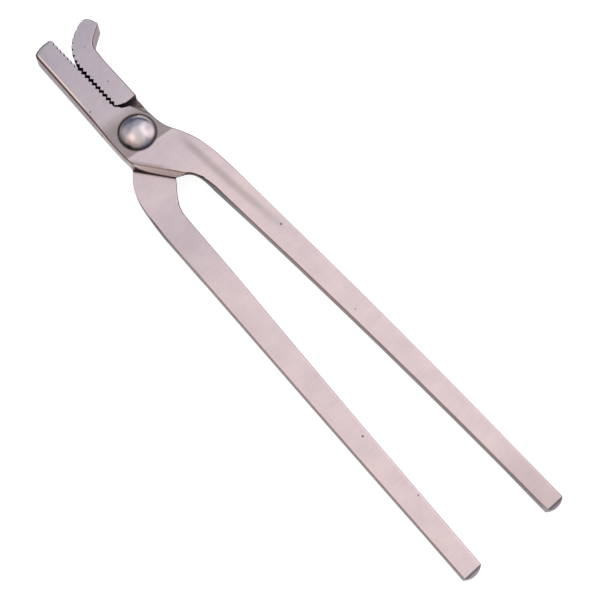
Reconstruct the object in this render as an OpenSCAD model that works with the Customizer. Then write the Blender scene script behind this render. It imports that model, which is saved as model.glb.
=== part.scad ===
// Farrier clincher: two forged steel arms, half-lapped and held by one pivot rivet.
// X runs from the pivot to the rein ends, Y across the jaws, Z along the rivet.
// The origin is on the rivet's axis, in the small flat on its back head.

/* [Jaws] */
// Pivot to the tip of the straight jaw
jaw_reach = 70.7; // [69:0.1:75]
// Thickness of both jaws, and of the two lapped halves of the boss together
jaw_thick = 13; // [11:0.5:15]
// Width of the straight jaw behind its tip
straight_jaw_w = 13.1; // [12.5:0.1:14]
// Width of the curved jaw between its tooth line and its back
curved_jaw_w = 12.3; // [11.5:0.1:13]
// Rise of the hook's end above the tooth line
hook_rise = 23.5; // [22.5:0.1:25]
// Distance from tooth to tooth along the closed jaws
tooth_pitch = 2.8; // [2.5:0.05:3]
// Depth of the V gaps in the straight jaw
straight_tooth_depth = 1.25; // [0.6:0.05:1.35]
// Depth of the V gaps in the curved jaw
curved_tooth_depth = 1.35; // [0.8:0.05:1.35]
// How far the V gaps lean towards the pivot on their way down, in degrees
tooth_lean = 15; // [0:1:20]

/* [Pivot] */
// Diameter of the rivet's domed front head
front_head_d = 20; // [17:0.5:21]
// Height of the front head
front_head_h = 4.8; // [3.5:0.1:6]
// Diameter of the set head at the back
back_head_d = 18; // [15:0.5:20]
// Height of the back head
back_head_h = 3.5; // [2.5:0.1:5]
// Diameter of the small flat on the back head, which the tool lies on
back_flat_d = 6; // [4:0.5:8]
// Diameter of the rivet's shank
shank_d = 9.5; // [8:0.5:11]
// Radial clearance of the shank in the straight jaw's arm, which turns on it
running_clearance = 0.05; // [0.02:0.01:0.09]
// Gap between the two lapped faces, and under the front head
lap_gap = 0.1; // [0.05:0.05:0.3]

/* [Reins] */
// Pivot to the end of the straight jaw's rein
rein_reach = 285; // [260:0.1:310]
// How much shorter the curved jaw's rein is
rein_short = 2.6; // [0:0.1:5]
// Thickness of both reins
rein_thick = 8.4; // [7:0.1:9.5]
// Width of the straight jaw's rein where it leaves the boss
front_rein_root_w = 14.1; // [13.5:0.1:15.5]
// Width of the straight jaw's rein at its end
front_rein_end_w = 10.1; // [9.5:0.1:12]
// Width of the curved jaw's rein where it leaves the boss
rear_rein_root_w = 15.3; // [14.5:0.1:16.5]
// Width of the curved jaw's rein at its end
rear_rein_end_w = 10.9; // [10:0.1:12.5]
// How far the crowned end of each rein bulges past its flat faces
end_crown = 2.5; // [1.5:0.1:3.5]
// How far that end bulges past the rein's two sides, seen from above
end_bulge = 2.3; // [1.5:0.1:3]

/* [Hidden] */
$fn = 96;

half_thick = jaw_thick / 2;
rein_half = rein_thick / 2;
lap_z = back_head_h + half_thick;
tall = 2 * jaw_thick;

// Where the two reins start, and the middles of their roots and ends
rein_start_x = 50;
front_rein_root_y = 18;
front_rein_end_y = 27.75;
front_rein_bow = 1.3;
rear_rein_root_y = -17.8;
rear_rein_end_y = -25.1;
rear_rein_bow = -0.4;

// The closed jaws meet along these two lines, a little apart
straight_tooth_y = 0.5;
curved_tooth_y = 0.85;
straight_tip_drop = 0.8;
first_gap_x = -21.7;
straight_gaps = 17;
tooth_stagger = 0.8;
curved_gaps = 11;
hook_gaps = 7;
first_hook_gap = 0.16;
hook_gap_step = 0.1375;
throat_x = -19.3;

// Where each arm's full thickness ends beside the other arm's boss
boss_r = 19.2;
swing_gap = 0.35;
step_x = -19.7;
step_inside_x = -9;

// The reins' near faces leave the lap here, and are level again further on
crank_in_x = 32;
curved_crank_out_x = 88;
straight_crank_out_x = 52;
shoulder_in_x = 20;
shoulder_out_x = 84;

steel = "#cdbfc3";
rivet_steel = "#b4b0ba";

function ease(t) = t * t * (3 - 2 * t);
function share(x, x0, x1) = min(1, max(0, (x - x0) / (x1 - x0)));
function mix(a, b, t) = a + (b - a) * t;

// Points of an arc from angle a0 to angle a1 round c
function arc(c, r, a0, a1, n = 6) =
    [for (i = [0:n]) c + r * [cos(mix(a0, a1, i / n)), sin(mix(a0, a1, i / n))]];

// A smooth curve through pts, which lie at fairly even distances
function smooth_point(a, b, c, d, t) =
    b + 0.5 * t * ((c - a) + t * ((2 * a - 5 * b + 4 * c - d) + t * (3 * (b - c) + d - a)));
function smooth_line(pts, n = 4) = [
    for (i = [0:len(pts) - 2])
        for (k = [0:(i == len(pts) - 2 ? n : n - 1)])
            smooth_point(pts[max(i - 1, 0)], pts[i], pts[i + 1],
                pts[min(i + 2, len(pts) - 1)], k / n)
];

// A long edge of a rein: straight from a to b, bowed sideways in the middle
function bowed(a, b, bow, n = 8) =
    [for (i = [0:n]) mix(a, b, i / n) + [0, 4 * bow * (i / n) * (1 - i / n)]];

// The arc round a rein's end between its sides, which lie half from its middle.
// The corners are left to the long edges on both sides.
function rounded_end(middle, half) =
    let (r = (half * half + end_bulge * end_bulge) / (2 * end_bulge), a = asin(half / r))
        arc(middle - [r, 0], r, 0.8 * a, -0.8 * a, 8);

// The hook's tooth line, from the straight tooth line at t = 0 to its tip at t = 1
hook_start = [-47.5, curved_tooth_y];
hook_tip = [-67.5, hook_rise - 4.6];
function hook_line(t) =
    pow(1 - t, 3) * hook_start + 3 * pow(1 - t, 2) * t * [-56, curved_tooth_y]
    + 3 * (1 - t) * t * t * [-64.2, 6.2] + t * t * t * hook_tip;

// The straight jaw's tooth line falls away a little towards the tip
function straight_line_y(x) =
    straight_tooth_y - straight_tip_drop * share(x, throat_x - 12, -jaw_reach);

// Outline of the straight jaw's arm, seen from above
module straight_jaw_outline() {
    tip = -jaw_reach;
    outer_y = straight_tooth_y - straight_jaw_w;
    root_half = front_rein_root_w / 2;
    end_half = front_rein_end_w / 2;
    end_x = rein_reach;
    polygon(concat(
        [[tip + 2, straight_line_y(tip)], [throat_x - 2.4, straight_tooth_y]],
        smooth_line([
            [throat_x - 1.2, 0.2], [throat_x, 0], [throat_x + 1.1, 0.6],
            [-16.4, 2.6], [-15.1, 4.8], [-14.1, 7.1], [-13.6, 9.5], [-12.3, 11.5],
            [-9.4, 12.4], [-5.2, 12.2], [-1, 12.1], [3.2, 12.7], [7.6, 14.1], [12.4, 16.7],
            [16.4, 18.7], [20.6, 20.5], [25.4, 21.9], [30.4, 22.9], [36.4, 23.8],
            [43, 24.5]
        ]),
        bowed([rein_start_x, front_rein_root_y + root_half],
            [end_x - end_bulge, front_rein_end_y + end_half], front_rein_bow),
        rounded_end([end_x, front_rein_end_y], end_half),
        bowed([end_x - end_bulge, front_rein_end_y - end_half],
            [rein_start_x, front_rein_root_y - root_half], front_rein_bow),
        smooth_line([
            [46.8, 10.5], [43.6, 9.75], [39.6, 8.6], [36, 6.8], [33.6, 4.4], [32, 1.6],
            [30, -0.5], [26.4, -3.3], [22, -6.7], [17.6, -9.9], [13.4, -12.4],
            [9, -13.6], [4, -14]
        ]),
        [[-4, -13.9], [-12, -13.6], [-22, outer_y - 0.65], [-42, outer_y - 0.2]],
        [[-56, outer_y]],
        smooth_line([
            [tip + 4, outer_y + 0.1], [tip + 2.3, outer_y + 0.45], [tip + 1.4, outer_y + 1.3],
            [tip + 0.8, -9.9], [tip + 0.35, -8.2], [tip + 0.1, -6.6], [tip, -5],
            [tip + 0.2, -3.2], [tip + 0.7, -1.6], [tip + 1.3, -0.7]
        ])
    ));
}

// Outline of the curved jaw's arm, seen from above
module curved_jaw_outline() {
    back_y = curved_tooth_y + curved_jaw_w;
    top_y = curved_tooth_y + hook_rise;
    root_half = rear_rein_root_w / 2;
    end_half = rear_rein_end_w / 2;
    end_x = rein_reach - rein_short;
    polygon(concat(
        [for (i = [0:12]) hook_line(i / 12)],
        smooth_line([
            [-67.2, top_y - 4.5], [-66.9, top_y - 3.5], [-65.9, top_y - 2.4],
            [-64.5, top_y - 1.5], [-62.8, top_y - 0.8], [-61.4, top_y - 0.3],
            [-60.6, top_y - 0.3], [-60, top_y - 1], [-58.6, top_y - 3.1],
            [-57, top_y - 5.5], [-55.5, top_y - 7.6]
        ]),
        smooth_line([
            [-54.3, 15.4], [-52.6, 14.4], [-50.3, back_y + 0.7], [-47, back_y + 0.4],
            [-43.4, back_y + 0.1], [-40, back_y]
        ]),
        [[-17, back_y - 0.1]],
        smooth_line([
            [-12.6, 13], [-8, 12.8], [-3, 12.3], [2.6, 11.5], [8, 10.3], [13, 8.6],
            [18, 6.5], [24, 3.3], [30, -0.2], [35.4, -4.2], [40, -7.1],
            [43.2, -8.7], [46.6, -9.7]
        ]),
        bowed([rein_start_x, rear_rein_root_y + root_half],
            [end_x - end_bulge, rear_rein_end_y + end_half], rear_rein_bow),
        rounded_end([end_x, rear_rein_end_y], end_half),
        bowed([end_x - end_bulge, rear_rein_end_y - end_half],
            [rein_start_x, rear_rein_root_y - root_half], rear_rein_bow),
        smooth_line([
            [44, -24.95], [38, -24.35], [32.4, -23.6], [27.6, -22.8], [23.2, -21.5],
            [19.4, -19.8], [16, -17.4], [13.2, -15], [10.8, -13.6], [7, -13.4],
            [2, -13.7]
        ]),
        [[-4, -13.7]],
        arc([0, 0], boss_r, 224.8, 182.7, 12),
        [[throat_x, curved_tooth_y]]
    ));
}

// Where a rein's near face leaves the lap and crosses to the rein's own level
function crank_z(t) = mix(-lap_gap / 2, rein_half, ease(t));
function outer_face_z(x) =
    mix(half_thick, rein_half, ease(share(x, shoulder_in_x, shoulder_out_x)));

// Side view of the curved jaw's arm, extruded across the whole tool.
// Its lap face is turned up, and its rein rises from under the other arm.
module side_blank(end_x, crank_out_x) {
    lap_face = -lap_gap / 2;
    stations = [for (i = [0:12]) i / 12];
    crown_r = (rein_half * rein_half + end_crown * end_crown) / (2 * end_crown);
    crown_a = asin(rein_half / crown_r);
    rotate([90, 0, 0])
        linear_extrude(4 * jaw_thick + 40, center = true)
            polygon(concat(
                [[-jaw_reach - 1, -half_thick], [-jaw_reach - 1, half_thick]],
                [[step_inside_x, half_thick], [step_inside_x, lap_face]],
                [for (t = stations)
                    [mix(crank_in_x, crank_out_x, t), crank_z(t)]],
                arc([end_x - crown_r, 0], crown_r, crown_a, -crown_a, 10),
                [for (t = stations)
                    [mix(shoulder_out_x, shoulder_in_x, t),
                        -outer_face_z(mix(shoulder_out_x, shoulder_in_x, t))]]
            ));
}

// Each arm's full thickness ends in a step along one of these lines
curved_step = [[-18.6, 1.9], [-17.4, 4], [-16.6, 6.2], [-16.4, 9], [-16.7, 13], [-16.7, 30]];
straight_step = concat(arc([0, 0], boss_r + swing_gap, 175, 136, 12), [[-14.1, 30]]);

// Everything past the step, above the lap: the room for the other arm's boss
module boss_room(step) {
    translate([0, 0, -lap_gap / 2])
        linear_extrude(tall)
            polygon(concat([[step_x, -30], [step_x, 0.6]], step,
                [[step_inside_x + 1, 30], [step_inside_x + 1, -30]]));
}

// One V gap between two teeth, as deep as it is half wide. It leans along the
// jaw from its place on the upper face.
module tooth_gap(depth, lean) {
    translate([0, 0, half_thick])
        rotate([0, lean, 0])
            linear_extrude(2 * tall, center = true)
                rotate(45)
                    square(depth * sqrt(2), center = true);
}

module straight_teeth() {
    for (i = [0:straight_gaps - 1]) {
        x = first_gap_x - i * tooth_pitch;
        translate([x, straight_line_y(x), 0])
            tooth_gap(straight_tooth_depth, -tooth_lean);
    }
}

module curved_teeth() {
    for (i = [0:curved_gaps - 1])
        translate([first_gap_x + tooth_stagger - i * tooth_pitch, curved_tooth_y, 0])
            tooth_gap(curved_tooth_depth, -tooth_lean);
    for (i = [0:hook_gaps - 1]) {
        t = first_hook_gap + i * hook_gap_step;
        ahead = hook_line(t + 0.02) - hook_line(t - 0.02);
        translate(hook_line(t))
            rotate(atan2(ahead[1], ahead[0]))
                tooth_gap(mix(curved_tooth_depth, 0.85, ease(t)), tooth_lean);
    }
}

// The throat side of the straight arm's boss slopes down from its face to the lap
module boss_bevel() {
    translate([-8.5, 9.3, half_thick])
        rotate([0, 0, 25])
            rotate([-60, 0, 0])
                translate([-12, -10, 0])
                    cube([24, 20, 20]);
}

// The straight arm's neck has a steep slope along its near edge
module neck_bevel() {
    translate([23, -3.9, half_thick])
        rotate([0, 0, 38.6])
            rotate([72, 0, 0])
                translate([-16, -20, 0])
                    cube([32, 30, 12]);
}

// Under the crotch the straight arm's near edge is cut back round the opening
module crotch_bevel() {
    translate([40, 0.5, -5])
        cylinder(h = 11, r1 = 13.9, r2 = 5.1);
}

module curved_jaw_arm() {
    color(steel)
        translate([0, 0, lap_z])
            difference() {
                intersection() {
                    linear_extrude(tall, center = true)
                        curved_jaw_outline();
                    side_blank(rein_reach - rein_short, curved_crank_out_x);
                }
                boss_room(curved_step);
                curved_teeth();
                cylinder(h = tall, d = shank_d, center = true);
            }
}

module straight_jaw_arm() {
    color(steel)
        translate([0, 0, lap_z])
            difference() {
                intersection() {
                    linear_extrude(tall, center = true)
                        straight_jaw_outline();
                    rotate([180, 0, 0])
                        side_blank(rein_reach, straight_crank_out_x);
                }
                rotate([180, 0, 0])
                    boss_room(straight_step);
                straight_teeth();
                boss_bevel();
                neck_bevel();
                crotch_bevel();
                cylinder(h = tall, r = shank_d / 2 + running_clearance, center = true);
            }
}

// A domed head: a slice of a ball, from its underside at z = 0 up to a flat at z = h
module rivet_head(d, h, flat_d = 0) {
    centre_z = (h * h - (d * d - flat_d * flat_d) / 4) / (2 * h);
    intersection() {
        translate([0, 0, centre_z])
            sphere(r = norm([centre_z, d / 2]));
        cylinder(h = h, d = d);
    }
}

module pivot_rivet() {
    front_face = lap_z + half_thick + lap_gap;
    color(rivet_steel) {
        union() {
            cylinder(h = front_face + 1, d = shank_d);
            translate([0, 0, front_face])
                rivet_head(front_head_d, front_head_h);
            translate([0, 0, back_head_h])
                mirror([0, 0, 1])
                    rivet_head(back_head_d, back_head_h, back_flat_d);
        }
    }
}

curved_jaw_arm();
straight_jaw_arm();
pivot_rivet();
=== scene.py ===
import math

import bmesh
import bpy
from mathutils import Matrix, Vector


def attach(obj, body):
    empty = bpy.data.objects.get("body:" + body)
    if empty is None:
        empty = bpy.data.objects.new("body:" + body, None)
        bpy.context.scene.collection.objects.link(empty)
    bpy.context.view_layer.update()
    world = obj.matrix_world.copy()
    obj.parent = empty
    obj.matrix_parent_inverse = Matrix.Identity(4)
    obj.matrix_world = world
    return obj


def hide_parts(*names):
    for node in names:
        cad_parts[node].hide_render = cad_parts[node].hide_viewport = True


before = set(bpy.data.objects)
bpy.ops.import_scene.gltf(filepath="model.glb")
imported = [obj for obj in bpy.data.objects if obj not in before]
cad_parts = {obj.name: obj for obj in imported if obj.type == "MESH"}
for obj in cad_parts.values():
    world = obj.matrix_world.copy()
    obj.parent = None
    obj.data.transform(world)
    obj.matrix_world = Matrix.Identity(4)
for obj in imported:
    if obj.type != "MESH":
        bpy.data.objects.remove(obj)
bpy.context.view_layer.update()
MM = 0.001

# The curved jaw's arm: one drop forging in stainless tool steel, with the hooked
# jaw at one end and a long bare rein at the other. It is milled flat at the lap,
# toothed with a cutter, ground across the reins and then tumbled satin.
RIM_ROUND = 1.3 * MM
JAW_RIM = 1.0
JAW_BACK_RIM = 1.6
HOOK_END_RIM = 0.5
BOSS_RIM = 0.6
REIN_RIM = 0.8
UNDERSIDE_RIM = 0.4
REIN_UNDERSIDE_RIM = 1.5
MILLED_EDGE = 0.15
SHARP_EDGE = math.radians(26)
STEEP_EDGE = math.radians(50)

# Where a forging's parts begin and end, in millimetres in the shared frame.
LAP_Z = 10
JAW_BACK_Y = -11
HOOK_END_Y = 15
JAWS_X = -18
REINS_X = 40
CRANK_X = (20, 62)
HAND_WEAR_X = (90, 150)
REIN_CROWN_X = 279
REAR_STEP_X = (-19.5, -16)
REAR_BOSS_X = -13


def forged_copy(node_name):
    """A closed bmesh of a forging's solid, its flat faces in one piece each."""
    forging = bmesh.new()
    forging.from_mesh(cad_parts[node_name].data)
    bmesh.ops.remove_doubles(forging, verts=forging.verts, dist=0.002 * MM)
    bmesh.ops.dissolve_limit(
        forging,
        angle_limit=math.radians(0.2),
        verts=forging.verts,
        edges=forging.edges,
    )
    return forging


def share_between(value, start, end):
    """0 at start and before it, 1 at end and past it, and even in between."""
    return min(1, max(0, (value - start) / (end - start)))


def soften_edges(forging, toothed, milled, rims_above):
    """Marks how far each convex edge is worn round, as a share of RIM_ROUND: a
    forging's rims well, the milled edges a little, and the teeth, the rein ends and
    the edges on the crank's underside and below rims_above not at all."""
    wear = forging.edges.layers.float.new("bevel_weight_edge")
    for edge in forging.edges:
        if not edge.is_manifold or edge.calc_face_angle() < SHARP_EDGE:
            continue
        low, high = [vert.co / MM for vert in edge.verts]
        middle = (low + high) / 2
        upright = abs(low.z - high.z) > 0.9 * (low - high).length
        under = max(low.z, high.z) < LAP_Z - 0.5
        if under:
            left_sharp = CRANK_X[0] < middle.x < CRANK_X[1]
        else:
            left_sharp = min(low.z, high.z) < rims_above
        if toothed(low) or toothed(high) or not edge.is_convex or middle.x > REIN_CROWN_X:
            edge.smooth = False
        elif milled(low) and milled(high):
            edge[wear] = MILLED_EDGE
        elif upright:
            edge[wear] = MILLED_EDGE if edge.calc_face_angle() > STEEP_EDGE else 0
        elif left_sharp:
            edge.smooth = False
        elif under:
            handled = share_between(max(low.x, high.x), *HAND_WEAR_X)
            edge[wear] = UNDERSIDE_RIM + (REIN_UNDERSIDE_RIM - UNDERSIDE_RIM) * handled
        elif middle.x > REINS_X:
            edge[wear] = REIN_RIM
        elif middle.x < JAWS_X and low.y > HOOK_END_Y:
            edge[wear] = HOOK_END_RIM
        elif middle.x < JAWS_X:
            edge[wear] = JAW_RIM + (JAW_BACK_RIM - JAW_RIM) * share_between(middle.y, 0, JAW_BACK_Y)
        else:
            edge[wear] = BOSS_RIM


def finished_piece(name, mesh_work, materials, body, node_name):
    """Puts a finished bmesh in the scene in place of its plain solid."""
    for face in mesh_work.faces:
        face.smooth = True
    mesh = bpy.data.meshes.new(name)
    mesh_work.to_mesh(mesh)
    mesh_work.free()
    for material in materials:
        mesh.materials.append(material)
    piece = bpy.data.objects.new(name, mesh)
    bpy.context.scene.collection.objects.link(piece)
    worn = piece.modifiers.new("worn edges", "BEVEL")
    worn.limit_method = "WEIGHT"
    worn.width = RIM_ROUND
    worn.segments = 5
    worn.use_clamp_overlap = False
    weighted = piece.modifiers.new("flat faces stay flat", "WEIGHTED_NORMAL")
    weighted.keep_sharp = True
    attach(piece, body)
    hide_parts(node_name)


def linear(hex_colour):
    """An sRGB hex colour as linear RGBA."""
    channels = [int(hex_colour[i:i + 2], 16) / 255 for i in (1, 3, 5)]
    return [c / 12.92 if c <= 0.04045 else ((c + 0.055) / 1.055) ** 2.4 for c in channels] + [1]


def add_node(tree, kind, settings=None, **links):
    """Adds a shader node, sets its properties and fills or links its inputs. _0 is
    its first input, and _ in an input's name stands for a space."""
    node = tree.nodes.new(kind)
    for key, value in (settings or {}).items():
        setattr(node, key, value)
    for key, value in links.items():
        socket = node.inputs[int(key[1:])] if key[1:].isdigit() else node.inputs[key.replace("_", " ")]
        if isinstance(value, bpy.types.NodeSocket):
            tree.links.new(value, socket)
        else:
            socket.default_value = value
    return node


def tinted(tree, colour, tint, *limits, blend="MULTIPLY"):
    """The colour with a tint on it where all the limits allow. A limit is a value,
    where the tint is gone and where it is full, with a smooth rise in between."""
    share = 1.0
    for value, gone_at, full_at in limits:
        rise = add_node(tree, "ShaderNodeMapRange", {"interpolation_type": "SMOOTHSTEP"}, Value=value,
                        From_Min=gone_at, From_Max=full_at)
        share = add_node(tree, "ShaderNodeMath", {"operation": "MULTIPLY"}, _0=share,
                         _1=rise.outputs["Result"]).outputs[0]
    return add_node(tree, "ShaderNodeMix", {"data_type": "RGBA", "blend_type": blend}, _0=share, _6=colour,
                    _7=linear(tint)).outputs[2]


# A grinding mark's width, length and height on the walls, and the size of the soft
# clouds from the tumbling, in millimetres. Real marks are only about 0.1 mm wide,
# too fine for the render, so they are drawn as wide as they need to show.
MARK_SIZE = (0.8, 12, 3)
CLOUD_SIZE = 11


def satin_steel(name, light, dark, roughness, finish, grain_deg=4):
    """Stainless tool steel, ground across and then tumbled: a soft even sheen, with
    the grinding marks still faintly there. finish adds pits and painted light and shade,
    and gets the place in millimetres, and rise: 1 on a level face, 0 on a wall."""
    material = bpy.data.materials.new(name)
    material.use_nodes = True
    tree = material.node_tree
    shader = tree.nodes["Principled BSDF"]
    own = add_node(tree, "ShaderNodeTexCoord").outputs
    place = add_node(tree, "ShaderNodeVectorMath", {"operation": "SCALE"}, _0=own["Object"],
                     Scale=1 / MM).outputs[0]
    axes = add_node(tree, "ShaderNodeSeparateXYZ", Vector=place).outputs
    rise = add_node(tree, "ShaderNodeSeparateXYZ", Vector=own["Normal"]).outputs["Z"]
    at = {"place": place, "X": axes["X"], "Y": axes["Y"], "Z": axes["Z"], "rise": rise}
    across = add_node(tree, "ShaderNodeMapping", Vector=place, Rotation=(0, 0, math.radians(grain_deg)),
                      Scale=[1 / size for size in MARK_SIZE]).outputs["Vector"]
    marks = add_node(tree, "ShaderNodeTexNoise", Vector=across, Scale=1.0, Detail=2.0, Roughness=0.6)
    cloud = add_node(tree, "ShaderNodeTexNoise", Vector=place, Scale=1 / CLOUD_SIZE, Detail=3.0,
                     Roughness=0.55)
    both = add_node(tree, "ShaderNodeMix", {"data_type": "FLOAT"}, _0=0.6, _2=marks.outputs["Fac"],
                    _3=cloud.outputs["Fac"])
    tone = add_node(tree, "ShaderNodeMapRange", Value=both.outputs[0], From_Min=0.3, From_Max=0.7)
    plain = add_node(tree, "ShaderNodeMix", {"data_type": "RGBA"}, _0=tone.outputs["Result"],
                     _6=linear(dark), _7=linear(light)).outputs[2]
    tree.links.new(finish(tree, at, plain), shader.inputs["Base Color"])
    bump = add_node(tree, "ShaderNodeBump", Height=marks.outputs["Fac"], Strength=0.12, Distance=0.02 * MM)
    tree.links.new(bump.outputs["Normal"], shader.inputs["Normal"])
    shader.inputs["Metallic"].default_value = 1.0
    shader.inputs["Roughness"].default_value = roughness
    return material


def dark_steel(name, colour, roughness):
    """A dull dark steel, used as painted shade in the tooth gaps and on the step."""
    material = bpy.data.materials.new(name)
    material.use_nodes = True
    shader = material.node_tree.nodes["Principled BSDF"]
    shader.inputs["Base Color"].default_value = linear(colour)
    shader.inputs["Metallic"].default_value = 0.6
    shader.inputs["Roughness"].default_value = roughness
    return material


def painted_jaw_shade(tree, at, colour):
    """Painted shade: darker and bluer from the boss out to the jaw tips, in three steps."""
    colour = tinted(tree, colour, "#f7f8fa", (at["X"], 60, 15))
    colour = tinted(tree, colour, "#edf0f5", (at["X"], -5, -25))
    return tinted(tree, colour, "#f0f4f7", (at["X"], -44, -66))


def painted_rim_shade_and_highlight(tree, at, colour):
    """Painted shade: a brown line along the rounded rims of the jaws and the boss,
    and a painted highlight along the crest of the straight jaw's back rim."""
    colour = tinted(tree, colour, "#a5978f", (at["rise"], 0.95, 0.83), (at["rise"], 0.1, 0.4),
                    (at["X"], 62, 38))
    return tinted(tree, colour, "#e6d6cc", (at["rise"], 0.998, 0.985), (at["rise"], 0.9, 0.95),
                  (at["X"], -22, -36), (at["Y"], -4, -9), blend="MIX")


def painted_wall_shade(tree, at, colour):
    """Painted shade on the walls: most in the crotch and along the reins, a little at
    the jaws, and a cooler painted reflection at the crowned rein ends."""
    wall = (at["rise"], 0.7, 0.3)
    colour = tinted(tree, colour, "#958e8c", wall, (at["X"], 24, 32), (at["X"], 281, 279))
    colour = tinted(tree, colour, "#8f8b93", wall, (at["X"], 20, 30), (at["X"], 75, 50))
    colour = tinted(tree, colour, "#d2c6c9", wall, (at["X"], -10, -20))
    return tinted(tree, colour, "#c9cdd4", (at["rise"], 0.93, 0.87), (at["X"], 279.6, 280.2))


def painted_lap_shade(tree, at, colour):
    """Painted shade on the lapped faces between the two halves of the boss, round their middle."""
    on_lap = add_node(tree, "ShaderNodeMath", {"operation": "COMPARE"}, _0=at["Z"], _1=LAP_Z, _2=0.12)
    off_middle = add_node(tree, "ShaderNodeVectorMath", {"operation": "DISTANCE"}, _0=at["place"],
                          _1=(-5, 0, LAP_Z))
    return tinted(tree, colour, "#988d88", (on_lap.outputs[0], 0, 1), (off_middle.outputs["Value"], 18, 15))


def pitted(tree, at, colour, pits):
    """Small dark pits that the grinding and the tumbling left, each given as its
    place and its radius."""
    for x, y, z, radius in pits:
        off_pit = add_node(tree, "ShaderNodeVectorMath", {"operation": "DISTANCE"}, _0=at["place"],
                           _1=(x, y, z))
        colour = tinted(tree, colour, "#6b6060", (off_pit.outputs["Value"], radius, 0.2 * radius))
    return colour


NECK_EDGE = 19.4


def out_across_neck(tree, at):
    """How far out a place lies, square to the front arm's neck. The neck's lower edge
    is at NECK_EDGE."""
    return add_node(tree, "ShaderNodeVectorMath", {"operation": "DOT_PRODUCT"}, _0=at["place"],
                    _1=(0.624, -0.782, 0)).outputs["Value"]


def rear_pits_and_painted_shade(tree, at, colour):
    """Besides the painted shade on the jaws, rims, walls and lap, a painted shadow fills
    the corner under the other arm's neck, and the rein and the jaw have two pits each."""
    colour = painted_wall_shade(tree, at, painted_rim_shade_and_highlight(tree, at, painted_jaw_shade(tree, at, colour)))
    colour = painted_lap_shade(tree, at, colour)
    # Painted shadow in the corner under the other arm's neck.
    colour = tinted(tree, colour, "#4a4446", (out_across_neck(tree, at), NECK_EDGE + 0.9, NECK_EDGE - 0.3),
                    (at["Z"], 12, 11), (at["X"], 11, 13))
    return pitted(tree, at, colour, [(195.4, -20.1, 14.2, 0.9), (235.2, -19.5, 14.2, 0.6),
                                     (-54.8, 10.3, 16.5, 0.5), (-31.8, 7, 16.5, 0.6)])


REIN_STEEL = "#dac9c8"
REIN_STEEL_DARK = "#cabbbd"
# Painted shade: near-black steel on the walls of the tooth gaps.
tooth_gap_shade = dark_steel("painted_shade_in_tooth_gaps", "#0c0908", 0.6)
# Painted shade: dark steel on the milled step's wall, down in the pocket.
step_shade_steel = dark_steel("painted_shade_on_milled_step", "#3c3637", 0.5)
rear_steel = satin_steel("satin_forged_steel_rear", REIN_STEEL, REIN_STEEL_DARK, 0.33, rear_pits_and_painted_shade)

CURVED_TEETH_X = -16.5
CURVED_TEETH_Y = (0.5, 2.6)
HOOK_X = -53
HOOK_CLIMB = 1.75
HOOK_TIP_Y = 19.2


def in_curved_teeth(p):
    """True on the curved jaw's toothed wall, and on its corner at the throat. Past
    HOOK_X the wall climbs with the hook."""
    if p.x > CURVED_TEETH_X or p.y > HOOK_TIP_Y:
        return False
    climb = max(0.0, HOOK_X - p.x) * HOOK_CLIMB
    return CURVED_TEETH_Y[0] < p.y < CURVED_TEETH_Y[1] + climb


def is_milled_rear(p):
    """True on the curved jaw's arm's lap face, step and round half boss."""
    on_lap = abs(p.z - LAP_Z) < 0.2
    on_step = REAR_STEP_X[0] < p.x < REAR_STEP_X[1] and p.y > 1
    on_boss = p.x < REAR_BOSS_X and p.y < CURVED_TEETH_Y[0]
    return on_lap or on_step or on_boss


def colour_hidden_cuts(forging, toothed, step_x):
    """Gives the tooth gaps and the step their own dark steels, as painted shade. The
    gaps lean, so their walls are the only ones there that are neither upright nor level."""
    for face in forging.faces:
        centre = face.calc_center_median() / MM
        if 0.1 < abs(face.normal.z) < 0.3 and toothed(centre):
            face.material_index = 1
        elif step_x[0] < centre.x < step_x[1] and face.normal.x > 0.5 and not toothed(centre):
            face.material_index = 2


curved = forged_copy("curved_jaw_arm")
soften_edges(curved, in_curved_teeth, is_milled_rear, 0)
colour_hidden_cuts(curved, in_curved_teeth, REAR_STEP_X)
rear_steels = [rear_steel, tooth_gap_shade, step_shade_steel]
finished_piece("curved_jaw_forging", curved, rear_steels, "curved_jaw_half",
               "curved_jaw_arm")

# The straight jaw's arm: the other forging, lapped over the first. It has the
# # straight toothed jaw, the front half of the boss and the right rein. The boss's face
# # round the rivet is darkened up to a line across, as painted shade.
HEAD_EDGE_R = 10
FRONT_STEP_X = (-19.9, -13)
CRANK_RIMS_ABOVE = 13.9
STRAIGHT_TEETH_X = -17
STRAIGHT_TEETH_Y = -2.3
NECK_SLOPE = Vector((0.593, -0.743, 0.309))


def from_rivet_axis(tree, at):
    """Distance from the rivet's axis."""
    level = add_node(tree, "ShaderNodeVectorMath", {"operation": "MULTIPLY"}, _0=at["place"], _1=(1, 1, 0))
    distance = add_node(tree, "ShaderNodeVectorMath", {"operation": "LENGTH"}, _0=level.outputs[0])
    return distance.outputs["Value"]


def painted_root_shade(tree, at, colour):
    """Painted shade: a soft darker band along the right rein's root. Its middle runs
    on y = 14.3 + 0.05 x + 0.00055 x x."""
    squared = add_node(tree, "ShaderNodeMath", {"operation": "MULTIPLY"}, _0=at["X"], _1=at["X"]).outputs[0]
    leaned = add_node(tree, "ShaderNodeMath", {"operation": "MULTIPLY_ADD"}, _0=at["X"], _1=-0.05,
                      _2=at["Y"]).outputs[0]
    bent = add_node(tree, "ShaderNodeMath", {"operation": "MULTIPLY_ADD"}, _0=squared, _1=-0.00055,
                    _2=leaned).outputs[0]
    off_shaded_band = add_node(tree, "ShaderNodeMath", {"operation": "SUBTRACT"}, _0=bent, _1=14.3).outputs[0]
    return tinted(tree, colour, "#dfe0dd", (off_shaded_band, -3.6, -0.2), (off_shaded_band, 3.2, 0.3),
                  (at["X"], 12, 26), (at["X"], 100, 60))


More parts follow.
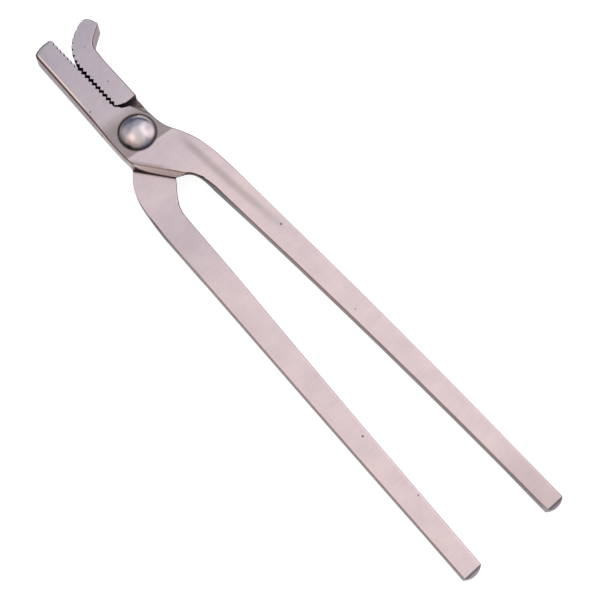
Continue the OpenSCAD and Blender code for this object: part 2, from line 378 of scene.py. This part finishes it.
def front_pits_and_painted_shade(tree, at, colour):
    """Besides the painted shade on the jaws, rims, walls and lap, it paints shade on the
    boss's face up to a line across, darkens the rein a little towards its end, paints shade
    where the face rolls off to the neck, paints a shadow round the rivet's head and a
    shaded band along the rein's root, and three pits mark the rest."""
    colour = painted_wall_shade(tree, at, painted_rim_shade_and_highlight(tree, at, painted_jaw_shade(tree, at, colour)))
    colour = painted_lap_shade(tree, at, colour)
    # Painted shade on the boss's face, up to a line across it.
    along_boss = add_node(tree, "ShaderNodeMath", {"operation": "MULTIPLY_ADD"}, _0=at["Y"], _1=-0.09,
                          _2=at["X"]).outputs[0]
    colour = tinted(tree, colour, "#c0c1be", (along_boss, -17.5, -7), (along_boss, 9.7, 8.4))
    colour = tinted(tree, colour, "#ebeaea", (at["X"], 235, 268))
    # Painted shade where the face rolls off to the neck.
    colour = tinted(tree, colour, "#c9c1be", (out_across_neck(tree, at), 14.6, 17.6), (at["X"], 28, 21))
    # Painted shadow round the rivet's head.
    colour = tinted(tree, colour, "#b2acac", (from_rivet_axis(tree, at), HEAD_EDGE_R + 1, HEAD_EDGE_R + 0.1),
                    (at["Z"], 16, 16.4))
    colour = painted_root_shade(tree, at, colour)
    return pitted(tree, at, colour, [(86.2, 22.9, 14.2, 0.9), (144.9, 21, 14.2, 0.5),
                                     (-24.8, -10.9, 16.5, 0.7)])


def neck_rim_painted_shade(tree, at, colour):
    """Painted shade: a brown line along the neck's upper edge."""
    return tinted(tree, colour, "#c6bab2", (at["rise"], 0.97, 0.85), (at["rise"], 0.33, 0.5))


front_steel = satin_steel("satin_forged_steel_front", REIN_STEEL, REIN_STEEL_DARK, 0.33, front_pits_and_painted_shade)
# The neck's slope gets a rougher steel whose lighter colour is painted light.
rough_lightened_neck_steel = satin_steel("rough_neck_steel_painted_light", "#f4eae8", "#ece2e0", 0.6, neck_rim_painted_shade)


def in_straight_teeth(p):
    """True on the straight jaw's toothed wall."""
    return p.x < STRAIGHT_TEETH_X and p.y > STRAIGHT_TEETH_Y


def is_milled_front(p):
    """True on the straight jaw's arm's lap face and on its round step."""
    on_step = FRONT_STEP_X[0] < p.x < FRONT_STEP_X[1] and p.z < LAP_Z
    return abs(p.z - LAP_Z) < 0.2 or on_step


straight = forged_copy("straight_jaw_arm")
soften_edges(straight, in_straight_teeth, is_milled_front, CRANK_RIMS_ABOVE)
colour_hidden_cuts(straight, in_straight_teeth, FRONT_STEP_X)
# The neck's ground slope is the one face that points along NECK_SLOPE; it gets the rougher steel, painted
# lighter.
for face in straight.faces:
    if face.normal.dot(NECK_SLOPE) > 0.995:
        face.material_index = 3
front_steels = [front_steel, tooth_gap_shade, step_shade_steel, rough_lightened_neck_steel]
finished_piece("straight_jaw_forging", straight, front_steels, "straight_jaw_half",
               "straight_jaw_arm")

# The pivot rivet: a turned steel rivet, set hot from the back and its front head
# finished to a bright dome with a snap.
LENGTHWISE_DEG = 94


def rivet_rim_painted_shade(tree, at, colour):
    """Painted shade: the head's low rim is darkened, and only the crown is left bright."""
    return tinted(tree, colour, "#8f9498", (from_rivet_axis(tree, at), 8.2, 9.4))


rivet_steel = satin_steel("polished_rivet_steel", "#d0c6c8", "#bdb3b6", 0.19, rivet_rim_painted_shade, LENGTHWISE_DEG)
rivet = forged_copy("pivot_rivet")
finished_piece("domed_rivet", rivet, [rivet_steel], "curved_jaw_half", "pivot_rivet")

# The stand for the photograph: a pale floor that leans as the tool does when it
# lies on the rivet's back head and on its rein ends.
BENCH_END_X = 282.5 * MM
REIN_UNDERSIDE = 5.8 * MM
BACK_FLAT_R = 3 * MM
FLOOR_GAP = 0.02 * MM
lean = math.atan2(REIN_UNDERSIDE, BENCH_END_X - BACK_FLAT_R)
floor_work = bmesh.new()
bmesh.ops.create_grid(floor_work, x_segments=1, y_segments=1, size=6.0)
bmesh.ops.transform(
    floor_work,
    matrix=Matrix.Translation((BACK_FLAT_R, 0, -FLOOR_GAP)) @ Matrix.Rotation(-lean, 4, "Y"),
    verts=floor_work.verts,
)
floor_mesh = bpy.data.meshes.new("pale_floor")
floor_work.to_mesh(floor_mesh)
floor_work.free()
floor = bpy.data.objects.new("pale_floor", floor_mesh)
bpy.context.scene.collection.objects.link(floor)

floor_paint = bpy.data.materials.new("pale_floor_paint")
floor_paint.use_nodes = True
tree = floor_paint.node_tree
tree.nodes.remove(tree.nodes["Principled BSDF"])
paint = add_node(tree, "ShaderNodeBsdfDiffuse", Color=linear("#a0a0a0"))
ray = add_node(tree, "ShaderNodeLightPath").outputs
mirrored = add_node(tree, "ShaderNodeMath", {"operation": "MULTIPLY"}, _0=ray["Is Glossy Ray"], _1=0.6)
lift = add_node(tree, "ShaderNodeMath", {"operation": "MULTIPLY_ADD"}, _0=ray["Is Camera Ray"], _1=0.86,
                _2=mirrored.outputs[0])
glow = add_node(tree, "ShaderNodeEmission", Strength=lift.outputs[0])
both = add_node(tree, "ShaderNodeAddShader", _0=paint.outputs[0], _1=glow.outputs[0])
tree.links.new(both.outputs[0], tree.nodes["Material Output"].inputs["Surface"])
floor_mesh.materials.append(floor_paint)

# The studio: a broad soft light overhead, a white card to the upper right, warm
# cards to the lower left, and dim lights round the sides of a dark room.
studio = bpy.data.worlds.new("studio")
bpy.context.scene.world = studio
studio.use_nodes = True
tree = studio.node_tree
away = add_node(tree, "ShaderNodeTexCoord").outputs["Generated"]

# The picture's right and top, in the shared frame.
IMAGE_RIGHT = Vector((0.6665, 0.7455, 0))
IMAGE_UP = Vector((-0.7455, 0.6665, 0))


def towards(right_deg, up_deg):
    """A direction that leans off the vertical, towards the picture's right and top."""
    right = math.tan(math.radians(right_deg))
    up = math.tan(math.radians(up_deg))
    return (IMAGE_RIGHT * right + IMAGE_UP * up + Vector((0, 0, 1))).normalized()


def light_patch(name, centre, inner_deg, outer_deg, colour):
    """A round soft light in the sky: full inside inner_deg, gone at outer_deg."""
    aim = add_node(tree, "ShaderNodeVectorMath", {"operation": "DOT_PRODUCT"}, _0=away, _1=centre)
    fade = add_node(tree, "ShaderNodeMapRange", {"interpolation_type": "SMOOTHSTEP"},
                    Value=aim.outputs["Value"], From_Min=math.cos(math.radians(outer_deg)),
                    From_Max=math.cos(math.radians(inner_deg)))
    return add_node(tree, "ShaderNodeVectorMath", {"operation": "SCALE", "label": name}, _0=colour,
                    Scale=fade.outputs["Result"]).outputs[0]


total = (0, 0, 0)
for patch in [
    light_patch("broad light overhead", towards(6, -7), 18, 54, (0.93, 0.885, 0.85)),
    light_patch("white card, upper right", towards(52, 38), 18, 46, (0.97, 0.88, 0.9)),
    light_patch("warm card, left", towards(-30, -17), 4, 24, (0.5, 0.41, 0.36)),
    light_patch("dim glow, right", towards(40, -16), 4, 24, (0.1, 0.11, 0.14)),
    light_patch("warm card, lower left", towards(-42, -30), 5, 30, (0.62, 0.5, 0.43)),
    light_patch("warm card, low in front", towards(-15, -58), 8, 30, (0.42, 0.37, 0.34)),
    light_patch("grey card, upper left", towards(-48, 28), 8, 42, (0.3, 0.3, 0.31)),
    light_patch("grey card, top", towards(8, 50), 8, 34, (0.42, 0.42, 0.44)),
    light_patch("grey card, far right", towards(78, 0), 10, 42, (0.42, 0.39, 0.4)),
    light_patch("warm card, far left", towards(-74, -8), 10, 42, (0.3, 0.27, 0.25)),
    light_patch("bluish back wall", towards(-30, 70), 0, 90, (0.08, 0.12, 0.19)),
    light_patch("bluish card, far lower right", towards(66, -72), 10, 36, (0.26, 0.29, 0.36)),
    light_patch("the room", towards(0, 0), 0, 110, (0.1, 0.1, 0.11)),
]:
    total = add_node(tree, "ShaderNodeVectorMath", {"operation": "ADD"}, _0=total, _1=patch).outputs[0]
sky = add_node(tree, "ShaderNodeBackground", Color=total, Strength=1.0)
backdrop = add_node(tree, "ShaderNodeBackground", Color=(1, 1, 1, 1), Strength=1.0)
camera_ray = add_node(tree, "ShaderNodeLightPath").outputs["Is Camera Ray"]
shown = add_node(tree, "ShaderNodeMixShader", _0=camera_ray, _1=sky.outputs[0], _2=backdrop.outputs[0])
tree.links.new(shown.outputs[0], tree.nodes["World Output"].inputs["Surface"])

# The camera stands 850 mm from the tool, tipped 15 degrees off its normal.
CAMERA_AIM = Vector((121.9, 4.05, 10.0)) * MM
CAMERA_PLACE = Vector((285.9, -142.6, 831.0)) * MM
camera_data = bpy.data.cameras.new("camera")
camera_data.sensor_width = 36
camera_data.lens = 100.4
camera_data.clip_end = 20
camera = bpy.data.objects.new("camera", camera_data)
bpy.context.scene.collection.objects.link(camera)
look = (CAMERA_AIM - CAMERA_PLACE).normalized()
right = look.cross(IMAGE_UP).normalized()
camera.matrix_world = Matrix.Translation(CAMERA_PLACE) @ Matrix(
    (right, right.cross(look), -look)).transposed().to_4x4()
bpy.context.scene.camera = camera
bpy.context.scene.view_settings.view_transform = "Standard"
